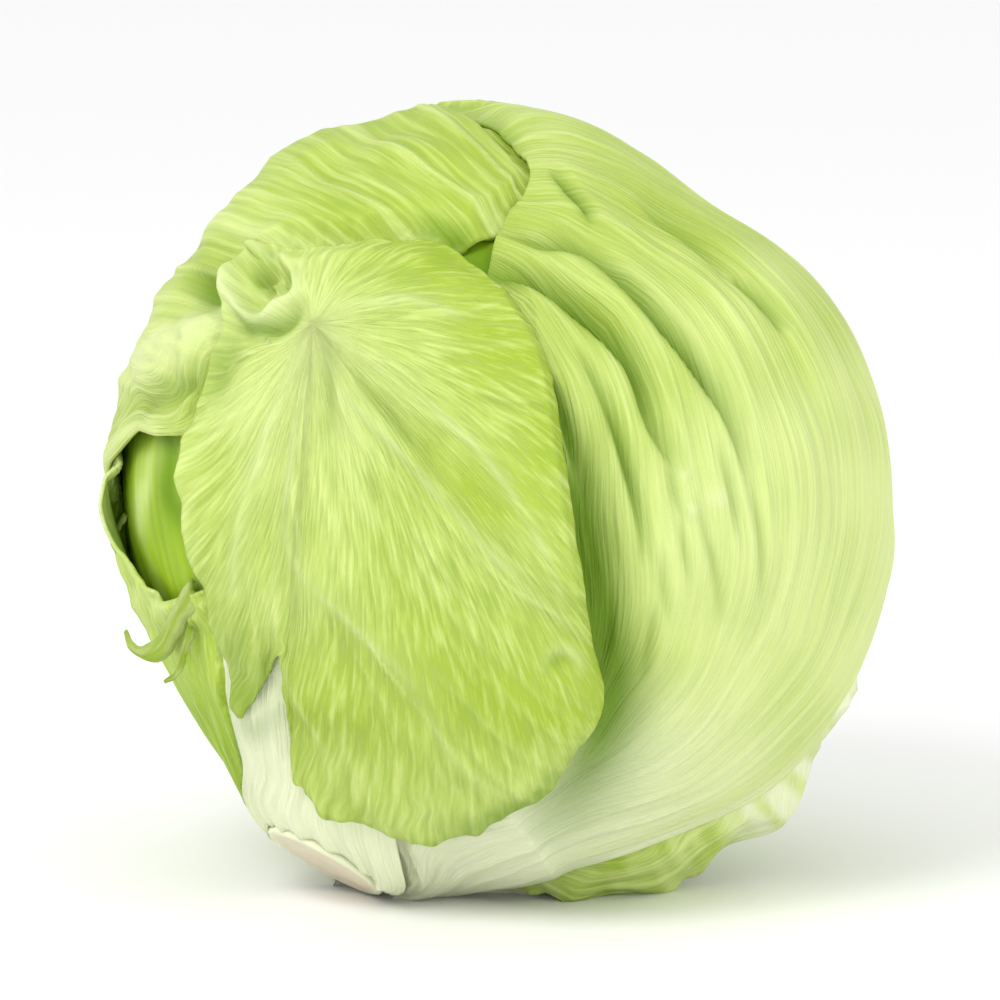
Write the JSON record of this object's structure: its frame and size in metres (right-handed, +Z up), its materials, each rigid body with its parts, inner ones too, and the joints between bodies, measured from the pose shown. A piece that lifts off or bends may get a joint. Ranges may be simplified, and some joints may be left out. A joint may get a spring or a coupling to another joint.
{
  "type": "iceberg lettuce head",
  "caption": "Round head of crisp lettuce lying on a small flat spot, with overlapping pleated wrapper leaves round a dense heart and a short cut stem.",
  "frame": {"origin": "on the supporting surface, within the small flat spot that the head lies on", "axes": "+Z up from the surface, -Y toward the front with the folded leaf, and the cut stem low toward -X and -Y"},
  "size_m": [0.1662, 0.1658, 0.1652],
  "materials": {
    "front_leaf": "waxy leaf, light yellow green with pale veins",
    "pale_leaf": "waxy leaf, pale, ivory white at its base",
    "green_leaf": "waxy leaf, mid green with pale veins",
    "shaded_leaf": "thin leaf, saturated green where it is in shade",
    "heart": "dense folded inner leaves",
    "stem": "cut stem, pinkish tan, fibrous"
  },
  "bodies": {
    "root": {"leaf_front": "front_leaf", "leaf_back_outer": "green_leaf", "leaf_right": "pale_leaf", "leaf_lower_right": "green_leaf", "leaf_top_left": "front_leaf", "leaf_lower_left": "shaded_leaf", "leaf_back": "pale_leaf", "heart": "heart", "stem": "stem"}
  },
  "joints": []
}
